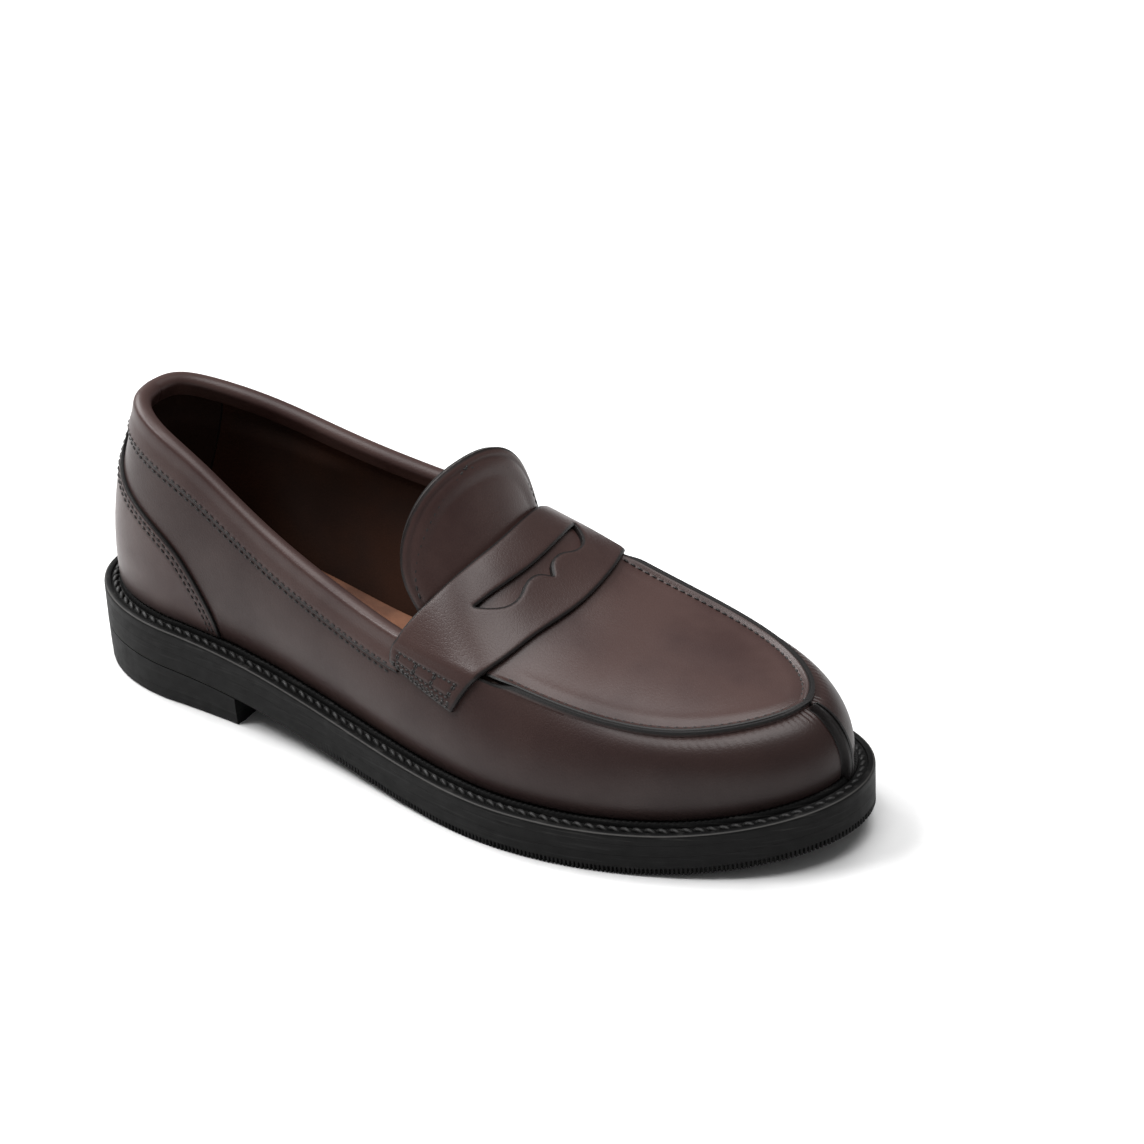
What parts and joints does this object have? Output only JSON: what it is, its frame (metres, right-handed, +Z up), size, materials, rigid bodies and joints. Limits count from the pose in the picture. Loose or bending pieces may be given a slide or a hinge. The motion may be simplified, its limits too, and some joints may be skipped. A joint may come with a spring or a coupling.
{
  "type": "penny loafer",
  "caption": "Slip-on welted leather shoe, right foot, with a moccasin apron, a slotted saddle strap, a raised tongue and a low heel.",
  "frame": {"origin": "bottom centre of the bounding box, on the ground under the middle of the sole", "axes": "+X from heel to toe, +Y to the inner (medial) side of the foot, +Z up"},
  "size_m": [0.268, 0.0919, 0.0951],
  "materials": {
    "calf": "smooth dark brown box calf, satin polish, darker burnishing",
    "lining": "dark brown lining leather, matt",
    "sock": "brown sock leather, matt",
    "welt": "black inked welt leather, satin",
    "rubber": "black sole rubber, satin edge",
    "leatherboard": "undyed leatherboard, matt",
    "cork": "granulated cork paste",
    "steel": "bright steel",
    "thread": "waxed dark thread"
  },
  "bodies": {
    "shoe": {"outsole": "rubber", "midsole": "rubber", "welt": "welt", "heel_block": "rubber", "heel_top_piece": "rubber", "heel_nail_1": "steel", "heel_nail_2": "steel", "heel_nail_3": "steel", "heel_nail_4": "steel", "heel_nail_5": "steel", "heel_nail_6": "steel", "shank": "steel", "cork_filler": "cork", "insole_rib": "leatherboard", "insole": "leatherboard", "sock_liner": "sock", "side_wall_lateral": "calf", "side_wall_medial": "calf", "apron": "calf", "saddle_strap": "calf", "heel_counter": "calf", "collar_binding": "calf", "counter_stiffener": "leatherboard", "toe_puff": "leatherboard", "heel_grip_lining": "lining", "quarter_lining_lateral": "lining", "quarter_lining_medial": "lining", "vamp_lining": "lining", "welt_thread": "thread", "collar_thread": "thread", "apron_thread": "thread", "toe_seam_thread": "thread", "strap_thread_lateral": "thread", "strap_thread_medial": "thread"},
    "tongue": {"tongue": "calf", "tongue_lining": "lining", "tongue_thread": "thread"}
  },
  "joints": [
    {"name": "tongue_lift", "type": "hinge", "parent": "shoe", "child": "tongue", "pos_m": [0.01163, 0.0058, 0.0694], "axis": [0, 1, 0], "range_deg": [-5, 25], "stiffness_Nm_per_rad": 0.05}
  ]
}
